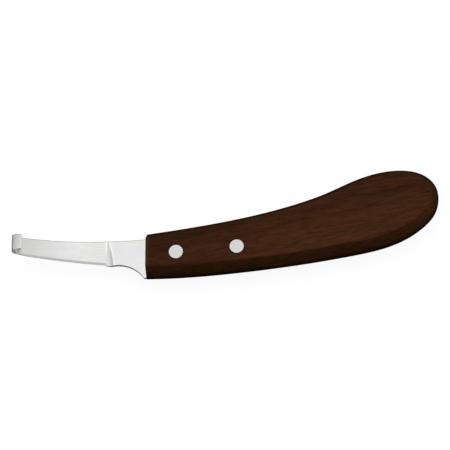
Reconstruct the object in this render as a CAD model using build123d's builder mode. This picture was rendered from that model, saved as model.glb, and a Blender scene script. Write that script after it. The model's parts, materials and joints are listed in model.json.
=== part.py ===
from build123d import *
from math import asin, cos, degrees, radians, sin
import os

# Hoof knife lying on its side: a curled-tip blade, a swept hardwood handle and two cutler's rivets.
# +X runs from the hook to the butt, +Y from the cutting edge to the spine, +Z up from the rest face.
# The origin is under the middle of the knife's plan outline. All sizes are in millimetres.

os.makedirs("parts", exist_ok=True)

# ---- Driving dimensions ---------------------------------------------------------------------------

# Handle
handle_thickness = 16.0        # between the two flat side faces
bevel_inset = 4.1              # how far each bevel reaches in over a side face
ridge_height = 0.8             # upright strip left between the two bevels
ridge_round = 1.0
face_edge_round = 1.2          # where a bevel meets a side face
front_edge_round = 0.3         # around the front end
short_of_outline = 140.0       # less than any edge that runs right round the handle
front_top = (-38.15, -5.25)
front_bottom = (-37.65, -27.9)

# Blade
mid_z = handle_thickness / 2
ricasso_thickness = 2.2
spine_thickness = 1.8          # of the ground blade, which is a slim wedge
edge_thickness = 1.1           # where the cutting edge's bevel starts
blade_root_x = -57.5           # foot of the plunge ramp
blade_tip_x = -99.85           # where the hook's curl starts
bow_radius = 150.0             # bend of the blade towards the hook's side
spine_root = (blade_root_x, -9.0)
spine_middle = (-82.0, -9.4)
spine_tip_y = -8.8
edge_root = (blade_root_x, -20.8)
edge_bend = (-92.0, -18.2)     # where the straight cutting edge starts to curve up to the hook
hook_edge_y = -16.9
spine_ease = 0.3               # chamfer along the spine
edge_bevel_depth = 0.8         # down the side of the blade
edge_bevel_width = 0.8         # across its face
blank_low_y = -23.0            # limits of the strip before its outline is trimmed
blank_high_y = -7.0
blank_depth = 40.0             # deeper than the whole knife

# Hook
curl_radius = 2.25             # to the middle of the strip
lip_radius = 4.0
lip_angle = 20.0
hook_low_y = -17.35            # lower edge of the strip where it starts to come back over the blade
hook_taper = 0.17              # its narrowing from there
hook_reach = 8.0               # more than the hook's own length
lip_corner = 0.6
lip_bevel = 0.45

# Ricasso
heel_start = (blade_root_x, -21.0)
heel = (-55.9, -21.5)
choil_start = (-51.2, -21.05)  # start of the round notch behind the heel
choil_end = (-38.8, -27.5)
ricasso_spine_y = -7.85        # height of the spine where it meets the handle
ramp_widths = {-22.5: 4.4, -17.0: 3.6, -13.0: 2.4, -7.7: 0.6}   # at four heights across the blade
ramp_points = [(0.15, 0.05), (0.8, 0.72)]   # on a ramp's curve, as shares of its width and its rise
ramp_clearance = 1.0           # how far the ramp's cut reaches above the ricasso

# Tang and rivets
rivet_tilt = 5.5               # slope of the line through the rivets
front_rivet = (-23.25, -16.7)
rivet_spacing = 29.1
tang_root = 17.5               # ahead of the front rivet, inside the ricasso
tang_reach = 9.0               # past the rear rivet
tang_nose = 4.0                # length of the tang's rounded end
tang_front_half = 6.2
tang_rear_half = 5.0
head_diameter = 6.7
head_height = 2.0
head_clearance = 0.15          # on diameter, around a head
sleeve_diameter = 4.8
pin_diameter = 3.2
sleeve_gap = 0.4               # between a sleeve's mouth and the pin half's head
sleeve_floor = 1.2             # metal left under a sleeve's blind bore
pin_end_gap = 0.6              # between a pin's end and that floor
pin_chamfer = 0.3

# Widest outline of the handle, from the front's top corner over the back, round the butt and along
# the underside to the front's bottom corner
handle_outline = [
    front_top,
    (-20.6, -2.35),
    (2.5, 2.1),
    (37.1, 11.7),
    (48.7, 16.35),
    (60.3, 22.0),
    (71.9, 26.25),
    (83.5, 27.9),
    (95.1, 25.4),
    (100.9, 19.4),
    (102.1, 13.2),
    (100.6, 6.0),
    (94.7, -1.5),
    (83.2, -9.2),
    (60.3, -16.05),
    (3.1, -25.05),
    (-19.9, -27.2),
    front_bottom,
]


def along_tang(distance, side):
    """Plan point at a distance behind the front rivet and to one side of the rivets' line."""
    tilt = radians(rivet_tilt)
    return (
        front_rivet[0] + distance * cos(tilt) - side * sin(tilt),
        front_rivet[1] + distance * sin(tilt) + side * cos(tilt),
    )


def front_face(y):
    """Plan point on the handle's leaning front face."""
    lean = (front_top[0] - front_bottom[0]) / (front_top[1] - front_bottom[1])
    return (front_bottom[0] + lean * (y - front_bottom[1]), y)


def half_thickness(y):
    """Half the ground blade's thickness, which falls evenly from the spine to the cutting edge."""
    share = (y - edge_root[1]) / (spine_root[1] - edge_root[1])
    return (edge_thickness + share * (spine_thickness - edge_thickness)) / 2


bow_angle = degrees(asin((blade_root_x - blade_tip_x) / bow_radius))
rear_rivet = along_tang(rivet_spacing, 0)

# Tang outline, which is also the outline of the handle's slot
with BuildSketch(Plane.XY.offset(mid_z)) as tang_outline:
    with BuildLine():
        nose_start = rivet_spacing + tang_reach - tang_nose
        lower = Line(along_tang(-tang_root, -tang_front_half), along_tang(nose_start, -tang_rear_half))
        upper = Line(along_tang(-tang_root, tang_front_half), along_tang(nose_start, tang_rear_half))
        ThreePointArc(lower @ 1, along_tang(nose_start + tang_nose, 0), upper @ 1)
        Line(lower @ 0, upper @ 0)
    make_face()

# ---- Blade: one forging with the hook, the ground blade, the ricasso and the tang -----------------

with BuildPart() as blade:
    # Strip of wedge section that makes the bowed blade and the hook
    with BuildLine(Plane.XZ) as strip_path:
        bow = JernArc((blade_root_x, mid_z), (-1, 0), bow_radius, -bow_angle)
        curl = JernArc(bow @ 1, bow % 1, curl_radius, -180)
        JernArc(curl @ 1, curl % 1, lip_radius, -lip_angle)
    with BuildSketch(Plane((blade_root_x, 0, mid_z), x_dir=(0, 1, 0), z_dir=(-1, 0, 0))):
        Polygon(
            (blank_high_y, half_thickness(blank_high_y)),
            (blank_high_y, -half_thickness(blank_high_y)),
            (blank_low_y, -half_thickness(blank_low_y)),
            (blank_low_y, half_thickness(blank_low_y)),
            align=None,
        )
    sweep(path=strip_path.wires()[0])

    # Its plan outline
    hook_x = blade.part.bounding_box().min.X
    with BuildSketch():
        with BuildLine():
            spine = ThreePointArc(spine_root, spine_middle, (hook_x, spine_tip_y))
            straight = Line(edge_root, edge_bend)
            curve = TangentArc(straight @ 1, (hook_x, hook_edge_y), tangent=straight % 1)
            Line(curve @ 1, spine @ 1)
            Line(edge_root, spine_root)
        make_face()
    extrude(amount=blank_depth, mode=Mode.INTERSECT)

    # Bevel along the cutting edge and round the inside of the hook
    edge_side = blade.faces().sort_by(Axis.Y)[0]
    front_edge = edge_side.edges().sort_by(SortBy.LENGTH)[-2:].sort_by(Axis.Z)[-1]
    chamfer(front_edge, edge_bevel_depth, edge_bevel_width, reference=edge_side)

    # Eased corners of the spine
    spine_side = blade.faces().filter_by(lambda face: face.normal_at().Y > 0.9)
    chamfer(spine_side.edges().sort_by(SortBy.LENGTH)[-2:], spine_ease)

    # The strip narrows faster where it comes back over the blade.
    with BuildSketch(Plane.XY.offset(curl.arc_center.Z)):
        Polygon(
            (hook_x, hook_low_y),
            (hook_x + hook_reach, hook_low_y + hook_taper * hook_reach),
            (hook_x + hook_reach, hook_low_y - hook_taper * hook_reach),
            align=None,
        )
    extrude(amount=blank_depth, mode=Mode.SUBTRACT)

    # Rounded corner of the lip's end, then a bevel over the end's outer edge
    lip_end = blade.faces().filter_by(GeomType.PLANE).sort_by(lambda face: face.normal_at().Z)[0]
    fillet(lip_end.edges().sort_by(Axis.Y)[0], lip_corner)
    lip_end = blade.faces().filter_by(GeomType.PLANE).sort_by(lambda face: face.normal_at().Z)[0]
    outer_edge = lip_end.edges().sort_by(SortBy.LENGTH)[-2:].sort_by(Axis.Z)[-1]
    chamfer(outer_edge, lip_bevel)

    # Ricasso, from the plunge to the handle's front
    with BuildSketch(Plane.XY.offset(mid_z)):
        with BuildLine():
            back = Spline(spine_root, front_face(ricasso_spine_y), tangents=[(1, 0), (1, 0.12)])
            Polyline(back @ 1, front_face(choil_end[1]), choil_end)
            TangentArc(choil_start, choil_end, tangent=(1, 0))
            Spline(heel_start, heel, choil_start, tangents=[(1, -0.7), (1, 0)])
            Line(heel_start, spine_root)
        make_face()
    extrude(amount=ricasso_thickness / 2, both=True)
    back_edges = blade.edges().filter_by_position(Axis.Y, spine_root[1], ricasso_spine_y)
    back_edges = back_edges.filter_by_position(Axis.X, blade_root_x, front_top[0])
    chamfer(back_edges.group_by(Axis.Z)[0] + back_edges.group_by(Axis.Z)[-1], spine_ease)

    # Hollow ramps on both sides, where the ground blade rises into the ricasso. They are widest and
    # deepest at the cutting edge.
    for y, ramp_width in ramp_widths.items():
        with BuildSketch(Plane((blade_root_x, y, mid_z), x_dir=(1, 0, 0), z_dir=(0, -1, 0))):
            with BuildLine():
                foot = half_thickness(y)
                top = ricasso_thickness / 2
                between = [(x * ramp_width, foot + z * (top - foot)) for x, z in ramp_points]
                rise = Spline((0, foot), *between, (ramp_width, top), tangents=[(1, 0), (1, 0)])
                cut_top = top + ramp_clearance
                Polyline(rise @ 1, (ramp_width, cut_top), (0, cut_top), (0, foot))
            make_face()
    ramp = loft(mode=Mode.PRIVATE)
    add(ramp, mode=Mode.SUBTRACT)
    add(mirror(ramp, about=Plane.XY.offset(mid_z), mode=Mode.PRIVATE), mode=Mode.SUBTRACT)

    # Tang, with a hole for each rivet's sleeve
    extrude(tang_outline.sketch, amount=ricasso_thickness / 2, both=True)
    with Locations((*front_rivet, mid_z), (*rear_rivet, mid_z)):
        Cylinder(sleeve_diameter / 2, handle_thickness, mode=Mode.SUBTRACT)
blade.part.label = "blade"
export_step(blade.part, "parts/blade.step")

# ---- Handle: one piece of hardwood, bevelled all round but square at the front --------------------

with BuildPart() as handle:
    with BuildSketch():
        with BuildLine():
            outline = Spline(*handle_outline)
            Line(outline @ 1, outline @ 0)
        make_face()
    extrude(amount=handle_thickness)

    # Bevels over both side faces, along the whole curved outline
    bevel_depth = (handle_thickness - ridge_height) / 2
    for side in (0, -1):
        side_face = handle.faces().filter_by(Axis.Z).sort_by(Axis.Z)[side]
        curved_edge = side_face.edges().sort_by(SortBy.LENGTH)[-1]
        chamfer(curved_edge, bevel_inset, bevel_depth, reference=side_face)

    # Softened edges: the ridge between the bevels, the bevels' edges on the side faces, the front end
    long_edges = handle.edges().filter_by(lambda edge: edge.length > short_of_outline)
    side_edges = long_edges.group_by(Axis.Z)[0] + long_edges.group_by(Axis.Z)[-1]
    fillet(long_edges - side_edges, ridge_round)
    long_edges = handle.edges().filter_by(lambda edge: edge.length > short_of_outline)
    fillet(long_edges.group_by(Axis.Z)[0] + long_edges.group_by(Axis.Z)[-1], face_edge_round)
    fillet(handle.faces().sort_by(Axis.X)[0].edges(), front_edge_round)

    # Blind slot for the tang
    extrude(tang_outline.sketch, amount=ricasso_thickness / 2, both=True, mode=Mode.SUBTRACT)

    # Stepped bore for each rivet, with a seat for a head in both side faces
    for place in (front_rivet, rear_rivet):
        with Locations((*place, mid_z)):
            Cylinder(sleeve_diameter / 2, handle_thickness, mode=Mode.SUBTRACT)
        with Locations((*place, head_height / 2), (*place, handle_thickness - head_height / 2)):
            Cylinder((head_diameter + head_clearance) / 2, head_height, mode=Mode.SUBTRACT)
handle.part.label = "handle"
export_step(handle.part, "parts/handle.step")

# ---- Rivets: each is a tube and a pin with flush heads, pressed into one another ------------------

for name, place in (("front_rivet", front_rivet), ("rear_rivet", rear_rivet)):
    # Sleeve half: a head in the rest face and a tube that reaches almost to the other head
    with BuildPart() as sleeve:
        with BuildSketch(Plane((*place, 0))):
            Circle(head_diameter / 2)
        extrude(amount=head_height)
        with BuildSketch(Plane((*place, 0))):
            Circle(sleeve_diameter / 2)
        extrude(amount=handle_thickness - head_height - sleeve_gap)
        with BuildSketch(Plane((*place, sleeve_floor))):
            Circle(pin_diameter / 2)
        extrude(amount=handle_thickness, mode=Mode.SUBTRACT)
    sleeve.part.label = name + "_sleeve"
    export_step(sleeve.part, f"parts/{name}_sleeve.step")

    # Pin half: a head in the opposite face and a solid pin that fills the sleeve
    with BuildPart() as pin:
        with BuildSketch(Plane((*place, handle_thickness - head_height))):
            Circle(head_diameter / 2)
        extrude(amount=head_height)
        with BuildSketch(Plane((*place, sleeve_floor + pin_end_gap))):
            Circle(pin_diameter / 2)
        extrude(amount=handle_thickness - head_height - sleeve_floor - pin_end_gap)
        chamfer(pin.faces().sort_by(Axis.Z)[0].edges(), pin_chamfer)
    pin.part.label = name + "_pin"
    export_step(pin.part, f"parts/{name}_pin.step")
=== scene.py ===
import json
import math

import bpy
from mathutils import Matrix, Vector


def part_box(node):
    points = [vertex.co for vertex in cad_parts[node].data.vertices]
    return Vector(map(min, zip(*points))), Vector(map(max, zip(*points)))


# Looks of a hoof knife: satin steel blade with a curled tip, dark oiled hardwood handle, flush rivets.
# The frame is the CAD model's: +X from the hook to the butt, +Y from the cutting edge to the spine,
# +Z up from the face that the knife lies on. Blender works in metres. Textures work in millimetres,
# because every material turns its object coordinates into them first.

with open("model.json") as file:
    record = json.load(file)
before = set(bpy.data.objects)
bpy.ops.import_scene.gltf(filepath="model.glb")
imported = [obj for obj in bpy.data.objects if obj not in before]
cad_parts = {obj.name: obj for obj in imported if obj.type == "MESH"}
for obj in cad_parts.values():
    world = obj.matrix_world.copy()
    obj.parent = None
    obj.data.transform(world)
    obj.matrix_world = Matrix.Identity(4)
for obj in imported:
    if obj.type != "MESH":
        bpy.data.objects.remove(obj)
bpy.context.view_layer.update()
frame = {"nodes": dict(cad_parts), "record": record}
nodes = frame["nodes"]
MM = 0.001

# ---- Driving values -------------------------------------------------------------------------------

# Camera
CAMERA_DISTANCE = 1.0
CAMERA_LENS = 166.7            # millimetres, on a 36 mm sensor
CAMERA_AZIMUTH = math.radians(10)
CAMERA_ELEVATION = math.radians(69)
CAMERA_TARGET = Vector((-0.3, -1.9, 12.6)) * MM

# Wood
GRAIN_ANGLE = math.radians(11.8)     # the grain's slope in plan
GRAIN_DIP = math.radians(2.5)        # and its fall into the handle
PITH = (0.0, -70.0, -46.0)           # a point on the tree's axis, in millimetres, outside the handle
RING_WIDTH = 3.4
GRAIN_WANDER = 7.0                   # how far the grain strays from the rings, either way
WOOD_DARK = (0.0440, 0.0138, 0.0040, 1)
WOOD_MIDDLE = (0.0740, 0.0236, 0.0068, 1)
WOOD_LIGHT = (0.0960, 0.0310, 0.0094, 1)
WOOD_RED = (0.0890, 0.0225, 0.0086, 1)
WOOD_OLIVE = (0.0680, 0.0300, 0.0085, 1)
WOOD_FRONT_BAND = (0.0700, 0.0430, 0.0125, 1)
WOOD_BEVEL = (0.0690, 0.0310, 0.0140, 1)
BACK_DARKENS = (-19.0, 3.0)          # across the grain, from the paler wood to the darker
BACK_SHADES = (1.14, 0.82)
FRONT_DARKENS = (40.0, -30.0)        # along the grain, in the same way
FRONT_SHADES = (1.06, 0.86)
BEVEL_PAINTED_SHADES = (0.49, 0.77)          # painted shade: how bright the bevels are painted over the faces, by the ridge and by the faces
BEVEL_SPREAD = (1.0, 8.0)            # distances of those two from the middle of the thickness
BUTT_PAINTED_LIGHT = 1.45                    # painted light: how much paler the bevels facing the butt end are painted, as if lit from the right
RIDGE_PAINTED_SHADE = 0.25                   # how bright the ridge between the bevels is painted: painted shade where it turns sideways and down
RIDGE_REACH = (0.5, 2.6)             # from the middle of the thickness, where that ends
FRONT_BAND_WIDTH = 2.4                     # width of the paler band along the front edge
RIVET_STAIN = 0.9                    # width of the dark ring round each rivet
STAIN_SHADE = 0.15
WOOD_RELIEF = 0.04                   # depth of the pores

# Wood noises, in cycles per millimetre along the grain, across it and down through it
WANDER = (0.010, 0.035, 0.035)
STREAKS = (0.026, 0.42, 0.42)
HUES = (0.030, 0.30, 0.30)
DARK_LINES = (0.045, 0.85, 0.85)
FIBRES = (0.12, 1.60, 1.60)
PORES = (0.15, 2.2, 2.2)
FLECKS = (0.22, 0.90, 0.90)          # on the bevels only

# Steel and rivets
STEEL = (0.80, 0.80, 0.79, 1)
STEEL_DULL = (0.72, 0.72, 0.71, 1)
STEEL_WARM = (0.80, 0.80, 0.75, 1)
STEEL_COOL = (0.76, 0.78, 0.81, 1)
RIVET = (0.86, 0.86, 0.85, 1)
RIVET_DULL = (0.77, 0.77, 0.76, 1)
# white of the painted highlights along the plunge's ramp
HIGHLIGHT_WHITE = (1, 1, 1, 1)
STEEL_RELIEF = 0.006
RIVET_RELIEF = 0.004
RIVET_BRUSHING_ANGLE = 0.5           # radians
RICASSO_LENGTH = 19.35               # from the foot of the plunge's ramp to the handle's front
SPINE_Y = -7.7
RAMP_WIDTH = (0.6, 0.386, -0.0087)   # at the spine, and its linear and square growth below it
TOP_HIGHLIGHT = (0.55, 0.15)              # half widths of the painted highlights along the ramp's top and foot: where they end and are full
FOOT_HIGHLIGHT = (0.5, 0.1)
FOOT_HIGHLIGHT_FADES = (11.0, 2.0)        # down from the spine, from gone to full
HOLLOW_FRONT = (-2.4, -0.8)          # the strip of the ramp painted darker as painted shade, measured from the ramp's top
HOLLOW_BACK = (-0.1, -0.5)
HOLLOW_DEEPENS = (1.0, 12.0)         # down from the spine
HOLLOW_PAINTED_SHADE = -0.24
LOWER_BRIGHTENS = (4.0, 18.0)        # painted sheen: the steel is painted brighter between these distances down from the spine
LOWER_PAINTED_SHEEN = 0.06
HOOK_FADES = (6.0, 4.0)              # back from the hook's end, where its coarser polish fades in
HOOK_ROUGHER = 0.16
ARC_BEND = 30.0                      # the ricasso's brush strokes curve less as this grows

# Steel noises, in cycles per millimetre along X, Y and Z
ALONG_BLADE = (0.05, 4.0, 4.0)
ACROSS_RICASSO = (0.13, 0.10, 0.10)
OVER_EDGE = (3.0, 0.3, 0.3)
PATCHES = (0.06, 0.14, 0.14)
TINTS = (0.07, 0.10, 0.10)
RIVET_BRUSHING = (0.25, 3.5, 3.5)

# Studio: a dim dome with soft round lights in it. Each light is a direction, the angles from it where
# the light is full and where it ends, and its brightness over the dome's.
DOME = 0.20
SOFT_LIGHTS = [
    ((0.14, 0.35, 0.93), 8, 34, 0.31),       # overhead
    ((0.14, 0.35, 0.93), 2, 12, 0.53),       # and its bright middle
    ((-0.27, 0.34, 0.90), 4, 26, 0.58),      # beside it, on the left
    ((-0.89, 0.16, 0.42), 12, 45, 0.53),     # left
    ((0.78, 0.22, 0.58), 10, 40, 0.82),      # right
    ((0.00, -0.88, 0.46), 10, 36, 0.44),     # front
    ((0.00, 0.85, 0.53), 8, 40, 0.20),       # back
]
BACKDROP = 0.90                # what the camera sees of the dome
FLOOR_HALF = 1.5               # metres
FLOOR_DROP = 0.00002           # below the knife's rest face
FLOOR = 0.45                   # the grey that lights the knife
FLOOR_SEEN = 0.16              # the grey that the camera sees, with a light of its own
FLOOR_GLOW = 0.92


# ---- Material building ----------------------------------------------------------------------------

class Nodes:
    """Short ways to add nodes to a tree."""

    def __init__(self, tree):
        self.tree = tree

    def node(self, kind, inputs=None, **settings):
        made = self.tree.nodes.new(kind)
        for name, value in settings.items():
            setattr(made, name, value)
        for socket, value in (inputs or {}).items():
            if isinstance(value, bpy.types.NodeSocket):
                self.tree.links.new(value, made.inputs[socket])
            else:
                made.inputs[socket].default_value = value
        return made

    def math(self, operation, first, second=0.0, third=0.0):
        made = self.node("ShaderNodeMath", {0: first, 1: second, 2: third}, operation=operation)
        return made.outputs[0]

    def vector(self, operation, first, second=(0, 0, 0)):
        """Result of a vector operation: a vector, or the number that a length or dot product gives."""
        made = self.node("ShaderNodeVectorMath", {0: first, 1: second}, operation=operation)
        return made.outputs["Value" if operation in ("LENGTH", "DOT_PRODUCT") else "Vector"]

    def between(self, value, low, high, out_low=0.0, out_high=1.0):
        """Smooth step of a value from low to high, onto the outer range."""
        made = self.node("ShaderNodeMapRange", {
            "Value": value, "From Min": low, "From Max": high, "To Min": out_low, "To Max": out_high,
        }, interpolation_type="SMOOTHSTEP")
        return made.outputs["Result"]


class Finish(Nodes):
    """A material being built: one Principled surface, and short ways to add the nodes that feed it."""

    def __init__(self, name, **constants):
        self.material = bpy.data.materials.new(name)
        self.material.use_nodes = True
        super().__init__(self.material.node_tree)
        self.surface = self.tree.nodes["Principled BSDF"]
        for socket, value in constants.items():
            self.surface.inputs[socket.replace("_", " ")].default_value = value
        coordinates = self.node("ShaderNodeTexCoord")
        self.place = self.scaled(coordinates.outputs["Object"], (1 / MM,) * 3)
        self.normal = self.node("ShaderNodeNewGeometry").outputs["Normal"]

    def feed(self, socket, value):
        self.tree.links.new(value, self.surface.inputs[socket])

    def scaled(self, place, scale):
        return self.vector("MULTIPLY", place, scale)

    def dimmed(self, colour, factor):
        made = self.node("ShaderNodeVectorMath", {0: colour, "Scale": factor}, operation="SCALE")
        return made.outputs["Vector"]

    def mixed(self, share, first, second):
        made = self.node("ShaderNodeMix", {0: share, 6: first, 7: second}, data_type="RGBA")
        return made.outputs[2]

    def turned(self, place, angles):
        made = self.node("ShaderNodeVectorRotate", {"Vector": place, "Rotation": angles},
                         rotation_type="EULER_XYZ")
        return made.outputs[0]

    def axes(self, place):
        return self.node("ShaderNodeSeparateXYZ", {0: place}).outputs

    def noise(self, place, scale, detail=2.0, roughness=0.5):
        """Noise from 0 to 1 with its mean near 0.5. Scale is per millimetre along each axis."""
        made = self.node("ShaderNodeTexNoise", {
            "Vector": self.scaled(place, scale), "Scale": 1.0, "Detail": detail, "Roughness": roughness,
        })
        return made.outputs["Fac"]

    def line_noise(self, value, scale, detail=2.0, roughness=0.5):
        """Noise that varies with one value only."""
        made = self.node("ShaderNodeTexNoise", {
            "W": value, "Scale": scale, "Detail": detail, "Roughness": roughness,
        }, noise_dimensions="1D")
        return made.outputs["Fac"]

    def bump(self, height, depth):
        """Relief of a height from 0 to 1 over a depth in millimetres."""
        made = self.node("ShaderNodeBump", {"Height": height, "Distance": depth * MM, "Strength": 1.0})
        return made.outputs["Normal"]


# ---- Wood -----------------------------------------------------------------------------------------

def wood_finish():
    finish = Finish("oiled_hardwood")
    grain = finish.turned(finish.place, (0, GRAIN_DIP, -GRAIN_ANGLE))
    streaks = finish.noise(grain, STREAKS, detail=4, roughness=0.62)
    fibres = finish.noise(grain, FIBRES, detail=3, roughness=0.7)
    pores = finish.between(finish.noise(grain, PORES, detail=1, roughness=0.4), 0.60, 0.70)

    colour = grain_colour(finish, grain, streaks, fibres, pores)
    colour = with_painted_shade_and_band(finish, colour, grain)
    finish.feed("Base Color", rivet_stained(finish, colour))
    finish.feed("Roughness", finish.between(finish.math("ADD", streaks, fibres), 0.7, 1.3, 0.42, 0.55))
    relief = finish.math("MULTIPLY_ADD", pores, -1.0, finish.math("MULTIPLY", fibres, 0.5))
    finish.feed("Normal", finish.bump(relief, WOOD_RELIEF))
    return finish.material


def grain_colour(finish, grain, streaks, fibres, pores):
    """Colour of the bare wood, from its rings, streaks, hues, fibres, pores and dark lines."""
    wander = finish.noise(grain, WANDER, detail=2)
    wander = finish.math("MULTIPLY_ADD", wander, 2 * GRAIN_WANDER, -GRAIN_WANDER)
    across = finish.axes(finish.vector("SUBTRACT", grain, PITH))
    squares = finish.math("MULTIPLY_ADD", across["Y"], across["Y"],
                          finish.math("MULTIPLY", across["Z"], across["Z"]))
    radius = finish.math("ADD", finish.math("SQRT", squares), wander)
    rings = finish.line_noise(radius, 1 / RING_WIDTH, detail=2, roughness=0.45)

    tone = finish.math("MULTIPLY_ADD", rings, 0.30, finish.math("MULTIPLY", streaks, 0.70))
    colour = finish.mixed(finish.between(tone, 0.28, 0.50), WOOD_DARK, WOOD_MIDDLE)
    colour = finish.mixed(finish.between(tone, 0.46, 0.70), colour, WOOD_LIGHT)
    hue = finish.noise(grain, HUES, detail=4, roughness=0.7)
    colour = finish.mixed(finish.between(hue, 0.50, 0.68, 0, 0.5), colour, WOOD_RED)
    colour = finish.mixed(finish.between(hue, 0.48, 0.32, 0, 0.5), colour, WOOD_OLIVE)
    colour = finish.dimmed(colour, finish.between(fibres, 0.27, 0.73, 0.68, 1.36))
    colour = finish.mixed(finish.math("MULTIPLY", pores, 0.65), colour, WOOD_DARK)
    dark_lines = finish.between(finish.noise(grain, DARK_LINES, detail=2), 0.55, 0.68)
    colour = finish.dimmed(colour, finish.math("MULTIPLY_ADD", dark_lines, -0.24, 1.02))

    along_grain = finish.axes(grain)
    colour = finish.dimmed(colour, finish.between(along_grain["Y"], *BACK_DARKENS, *BACK_SHADES))
    return finish.dimmed(colour, finish.between(along_grain["X"], *FRONT_DARKENS, *FRONT_SHADES))


def with_painted_shade_and_band(finish, colour, grain):
    """Wood with painted shade and light: bevels and the ridge between them painted darker as painted
    shade, bevels round the butt painted paler as painted light, and a paler band along the front.
    """
    normal = finish.axes(finish.normal)
    facing = finish.math("ABSOLUTE", normal["Z"])
    flat = finish.between(facing, 0.70, 0.96)
    slanted = finish.math("SUBTRACT", 1.0, flat)
    finish.feed("Specular IOR Level", finish.between(facing, 0.50, 0.97, 0.0, 0.05))

    low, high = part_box("handle")
    off_middle = finish.math("SUBTRACT", finish.axes(finish.place)["Z"], (low.z + high.z) / 2 / MM)
    off_middle = finish.math("ABSOLUTE", off_middle)
    # Painted shade: the bevels are painted darker than the faces, most of all by the ridge.
    bevel = finish.between(off_middle, *BEVEL_SPREAD, *BEVEL_PAINTED_SHADES)
    # Painted light: bevels facing the butt end, along +X, are painted paler.
    bevel_shading = finish.math("MULTIPLY", bevel, finish.between(normal["X"], 0.30, 0.75, 1.0, BUTT_PAINTED_LIGHT))
    shade = finish.math("MULTIPLY_ADD", flat, finish.math("SUBTRACT", 1.0, bevel_shading), bevel_shading)
    flecks = finish.between(finish.noise(grain, FLECKS, detail=4, roughness=0.7), 0.32, 0.68, -0.24, 0.24)
    colour = finish.mixed(finish.math("MULTIPLY", slanted, 0.5), colour, WOOD_BEVEL)
    colour = finish.dimmed(colour, finish.math("MULTIPLY_ADD", slanted, flecks, 1.0))
    colour = finish.dimmed(colour, shade)
    # Painted shade: the ridge between the bevels is painted dark.
    colour = finish.dimmed(colour, finish.between(off_middle, *RIDGE_REACH, RIDGE_PAINTED_SHADE, 1.0))

    # A paler, more olive band along the front edge of the faces.
    from_front = finish.math("SUBTRACT", finish.axes(finish.place)["X"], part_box("handle")[0].x / MM)
    front_band = finish.between(from_front, FRONT_BAND_WIDTH, 0.5 * FRONT_BAND_WIDTH, 0.0, 0.85)
    return finish.mixed(finish.math("MULTIPLY", front_band, flat), colour, WOOD_FRONT_BAND)


def rivet_stained(finish, colour):
    """Colour with a dark ring of swarf and oil round each rivet."""
    for name in ("front_rivet_pin", "rear_rivet_pin"):
        low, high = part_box(name)
        centre = (low + high) / 2 / MM
        rim = (high.x - low.x) / 2 / MM
        in_plan = finish.scaled(finish.vector("SUBTRACT", finish.place, centre), (1, 1, 0))
        away = finish.vector("LENGTH", in_plan)
        colour = finish.dimmed(colour, finish.between(away, rim, rim + RIVET_STAIN, STAIN_SHADE, 1.0))
    return colour


# ---- Steel ----------------------------------------------------------------------------------------

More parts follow.
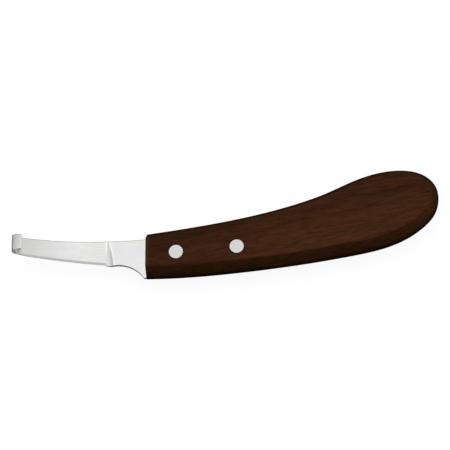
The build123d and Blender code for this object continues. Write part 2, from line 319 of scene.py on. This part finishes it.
def steel_finish():
    """Satin steel: ground along the blade, across the ricasso, and straight over the cutting bevel."""
    finish = Finish("satin_steel", Metallic=1.0)
    place = finish.axes(finish.place)
    plunge_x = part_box("handle")[0].x / MM - RICASSO_LENGTH
    ricasso = finish.between(place["X"], plunge_x - 0.3, plunge_x + 0.3)
    edge = finish.between(finish.axes(finish.normal)["Y"], -0.35, -0.55)

    # Brushing, whose strokes over the ricasso follow arcs
    arc_x = finish.math("MULTIPLY_ADD", place["Y"], place["Y"],
                        finish.math("MULTIPLY", place["X"], ARC_BEND))
    arcs = finish.node("ShaderNodeCombineXYZ", {"X": arc_x, "Y": place["Y"], "Z": place["Z"]}).outputs[0]
    along = finish.noise(finish.place, ALONG_BLADE, detail=4, roughness=0.65)
    across = finish.noise(arcs, ACROSS_RICASSO, detail=4, roughness=0.65)
    over_edge = finish.noise(finish.place, OVER_EDGE, detail=3, roughness=0.6)
    brushing = finish.math("MULTIPLY_ADD", finish.math("SUBTRACT", across, along), ricasso, along)
    brushing = finish.math("MULTIPLY_ADD", finish.math("SUBTRACT", over_edge, brushing), edge, brushing)

    # Places on the plunge ramp: down from the spine, on from its foot, and past its slanted top
    below = finish.math("SUBTRACT", SPINE_Y, place["Y"])
    up_ramp = finish.math("SUBTRACT", place["X"], plunge_x)
    spine_width, growth, easing = RAMP_WIDTH
    width = finish.math("MULTIPLY", below, finish.math("MULTIPLY_ADD", below, easing, growth))
    past_top = finish.math("SUBTRACT", up_ramp, finish.math("ADD", width, spine_width))

    # Painted highlights along its foot and its top, and painted shade in a strip below the top
    top_highlight = finish.between(finish.math("ABSOLUTE", past_top), *TOP_HIGHLIGHT)
    foot_highlight = finish.between(finish.math("ABSOLUTE", up_ramp), *FOOT_HIGHLIGHT)
    foot_highlight = finish.math("MULTIPLY", foot_highlight, finish.between(below, *FOOT_HIGHLIGHT_FADES))
    painted_highlight = finish.math("MAXIMUM", top_highlight, foot_highlight)
    hollow_shade = finish.math("MULTIPLY", finish.between(past_top, *HOLLOW_FRONT),
                         finish.between(past_top, *HOLLOW_BACK))
    hollow_shade = finish.math("MULTIPLY", hollow_shade, finish.between(below, *HOLLOW_DEEPENS))
    lower_sheen = finish.between(below, *LOWER_BRIGHTENS)

    colour = finish.mixed(finish.between(brushing, 0.3, 0.65), STEEL_DULL, STEEL)
    tint = finish.noise(finish.place, TINTS, detail=2)
    colour = finish.mixed(finish.between(tint, 0.50, 0.66, 0, 0.6), colour, STEEL_WARM)
    colour = finish.mixed(finish.between(tint, 0.50, 0.34, 0, 0.5), colour, STEEL_COOL)
    # Painted sheen: the steel is painted brighter down towards the edge.
    colour = finish.dimmed(colour, finish.math("MULTIPLY_ADD", lower_sheen, LOWER_PAINTED_SHEEN, 1.0))
    # Painted shade in the hollow below the ramp's top.
    colour = finish.dimmed(colour, finish.math("MULTIPLY_ADD", hollow_shade, HOLLOW_PAINTED_SHADE, 1.0))
    finish.feed("Base Color", finish.mixed(painted_highlight, colour, HIGHLIGHT_WHITE))

    hook = finish.between(place["X"], *(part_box("blade")[0].x / MM + reach for reach in HOOK_FADES))
    patches = finish.noise(finish.place, PATCHES, detail=3)
    polish = finish.between(patches, 0.3, 0.7, 0.17, 0.22)
    finish.feed("Roughness", finish.math("MULTIPLY_ADD", hook, HOOK_ROUGHER, polish))
    finish.feed("Normal", finish.bump(brushing, STEEL_RELIEF))
    return finish.material


# ---- Rivets ---------------------------------------------------------------------------------------

def rivet_finish():
    finish = Finish("satin_rivet", Metallic=1.0)
    turned = finish.turned(finish.place, (0, 0, RIVET_BRUSHING_ANGLE))
    brushing = finish.noise(turned, RIVET_BRUSHING, detail=4, roughness=0.6)
    finish.feed("Base Color", finish.mixed(finish.between(brushing, 0.3, 0.7), RIVET_DULL, RIVET))
    finish.feed("Roughness", finish.between(brushing, 0.3, 0.7, 0.32, 0.42))
    finish.feed("Normal", finish.bump(brushing, RIVET_RELIEF))
    return finish.material


finishes = {"steel": steel_finish(), "hardwood": wood_finish(), "rivet": rivet_finish()}
for row in frame["record"]["subparts"]:
    nodes[row["node"]].data.materials[0] = finishes[row["material_slot"]]


# ---- Stage, light and camera ----------------------------------------------------------------------

def make_floor():
    """Pale floor. The camera sees a grey with a light of its own added, which keeps shadows faint.
    The knife sees a mid grey."""
    half = FLOOR_HALF
    mesh = bpy.data.meshes.new("floor")
    mesh.from_pydata([(-half, -half, 0), (half, -half, 0), (half, half, 0), (-half, half, 0)],
                     [], [(0, 1, 2, 3)])
    floor = bpy.data.objects.new("floor", mesh)
    floor.location.z = -FLOOR_DROP
    bpy.context.scene.collection.objects.link(floor)
    finish = Finish("pale_floor", Roughness=0.9, Specular_IOR_Level=0.0, Emission_Color=(1, 1, 1, 1))
    seen = finish.node("ShaderNodeLightPath").outputs["Is Camera Ray"]
    finish.feed("Base Color", finish.mixed(seen, (FLOOR,) * 3 + (1,), (FLOOR_SEEN,) * 3 + (1,)))
    finish.feed("Emission Strength", finish.math("MULTIPLY", seen, FLOOR_GLOW))
    mesh.materials.append(finish.material)


def make_world():
    """Studio dome with its soft lights. The camera sees a plain pale backdrop instead."""
    world = bpy.data.worlds.new("studio")
    world.use_nodes = True
    bpy.context.scene.world = world
    sky = Nodes(world.node_tree)
    direction = sky.node("ShaderNodeTexCoord").outputs["Generated"]
    light = DOME
    for towards, full, end, brightness in SOFT_LIGHTS:
        facing = sky.vector("DOT_PRODUCT", direction, Vector(towards).normalized())
        edge, middle = math.cos(math.radians(end)), math.cos(math.radians(full))
        light = sky.math("ADD", sky.between(facing, edge, middle, 0.0, brightness), light)
    seen = sky.node("ShaderNodeLightPath").outputs["Is Camera Ray"]
    light = sky.math("MULTIPLY", light, sky.math("SUBTRACT", 1.0, seen))
    background = world.node_tree.nodes["Background"]
    background.inputs["Color"].default_value = (1, 1, 1, 1)
    strength = sky.math("ADD", light, sky.math("MULTIPLY", seen, BACKDROP))
    world.node_tree.links.new(strength, background.inputs["Strength"])


def make_camera():
    back = Vector((math.cos(CAMERA_ELEVATION) * math.sin(CAMERA_AZIMUTH),
                   -math.cos(CAMERA_ELEVATION) * math.cos(CAMERA_AZIMUTH),
                   math.sin(CAMERA_ELEVATION)))
    up = Vector((0, back.z, -back.y)).normalized()
    right = up.cross(back)
    camera = bpy.data.objects.new("camera", bpy.data.cameras.new("camera"))
    camera.data.lens = CAMERA_LENS
    turn = Matrix((right, up, back)).transposed().to_4x4()
    camera.matrix_world = Matrix.Translation(CAMERA_TARGET + back * CAMERA_DISTANCE) @ turn
    bpy.context.scene.collection.objects.link(camera)
    bpy.context.scene.camera = camera


make_floor()
make_world()
make_camera()
bpy.context.scene.view_settings.view_transform = "Standard"
